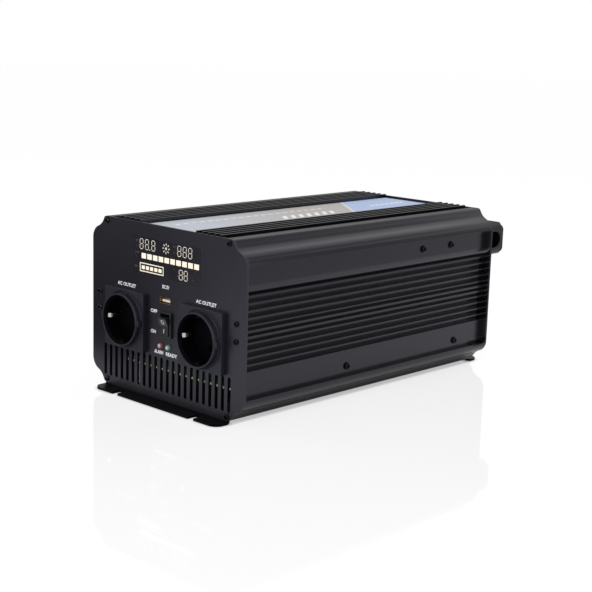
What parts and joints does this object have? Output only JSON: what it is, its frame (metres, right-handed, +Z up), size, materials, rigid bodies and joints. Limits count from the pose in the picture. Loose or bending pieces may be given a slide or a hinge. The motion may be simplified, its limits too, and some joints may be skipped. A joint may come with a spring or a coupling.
{
  "type": "power inverter",
  "caption": "Finned black power inverter: case closed by footed end panels, with earthed mains sockets, rocker switch, USB port, display, fan and covered battery studs.",
  "frame": {"origin": "on the ground under the middle of the part's bounding box", "axes": "+X to the right seen from the front panel, +Y towards the rear panel, +Z up"},
  "size_m": [0.194, 0.355, 0.1488],
  "materials": {
    "anodised_black": "black anodised extrusion, satin",
    "powder_black": "black powder coat, fine texture",
    "black_screw": "black zinc, satin",
    "label_film": "printed film, satin",
    "socket_black": "moulded, fine texture",
    "clip_steel": "plated spring steel",
    "contact_brass": "plain brass",
    "window_smoke": "smoked acrylic, gloss",
    "display_dark": "potted display block",
    "board_green": "solder mask, satin",
    "bright_steel": "zinc plated",
    "usb_cream": "moulded",
    "switch_black": "moulded, semi-gloss",
    "led_red": "diffused resin",
    "led_green": "diffused resin",
    "fan_black": "moulded",
    "guard_wire": "plated wire",
    "insulator_black": "moulded",
    "insulator_red": "moulded",
    "copper": "bare copper",
    "ferrite": "sintered, matt",
    "winding_tape": "polyester tape",
    "sleeve_blue": "shrink sleeve",
    "choke_white": "white polymer, matt",
    "bar_aluminium": "mill finish",
    "package_black": "moulded epoxy",
    "fuse_amber": "translucent, tinted"
  },
  "bodies": {
    "inverter": {"case_upper": "anodised_black", "case_lower": "anodised_black", "front_panel": "powder_black", "rear_panel": "powder_black", "front_screws": "black_screw", "rear_screws": "black_screw", "side_screws": "black_screw", "roof_label": "label_film", "socket_body_left": "socket_black", "socket_body_right": "socket_black", "earth_clips_left": "clip_steel", "earth_clips_right": "clip_steel", "usb_shell": "clip_steel", "line_contacts_left": "contact_brass", "line_contacts_right": "contact_brass", "switch_tabs": "contact_brass", "stud_neg": "contact_brass", "stud_pos": "contact_brass", "earth_stud": "contact_brass", "display_window": "window_smoke", "display_module": "display_dark", "front_board": "board_green", "main_board": "board_green", "front_standoffs": "bright_steel", "fan_screws": "bright_steel", "stud_nuts": "bright_steel", "earth_nut": "bright_steel", "board_posts": "bright_steel", "board_screws": "bright_steel", "usb_tongue": "usb_cream", "switch_body": "switch_black", "led_fault": "led_red", "led_power": "led_green", "fan_frame": "fan_black", "fan_guard": "guard_wire", "bush_neg": "insulator_black", "bush_pos": "insulator_red", "bus_bars": "copper", "transformer_cores": "ferrite", "transformer_windings": "winding_tape", "capacitors": "sleeve_blue", "output_choke": "choke_white", "board_plug": "choke_white", "clamp_bars": "bar_aluminium", "transistor_rows": "package_black", "rectifiers": "package_black", "fuse_row": "fuse_amber"},
    "rocker": {"switch_rocker": "switch_black"},
    "rotor": {"fan_rotor": "fan_black"},
    "cover_minus": {"cover_neg": "insulator_black"},
    "cover_plus": {"cover_pos": "insulator_red"}
  },
  "joints": [
    {"name": "power_rocker", "type": "hinge", "parent": "inverter", "child": "rocker", "pos_m": [0.0021, -0.162, 0.0674], "axis": [1, 0, 0], "range_deg": [-22, 0]},
    {"name": "fan_spin", "type": "hinge", "parent": "inverter", "child": "rotor", "pos_m": [0, 0.137, 0.0803], "axis": [0, 1, 0], "continuous": true},
    {"name": "cover_neg_pull", "type": "slide", "parent": "inverter", "child": "cover_minus", "axis": [0, 1, 0], "range_m": [0, 0.03]},
    {"name": "cover_pos_pull", "type": "slide", "parent": "inverter", "child": "cover_plus", "axis": [0, 1, 0], "range_m": [0, 0.03]}
  ]
}
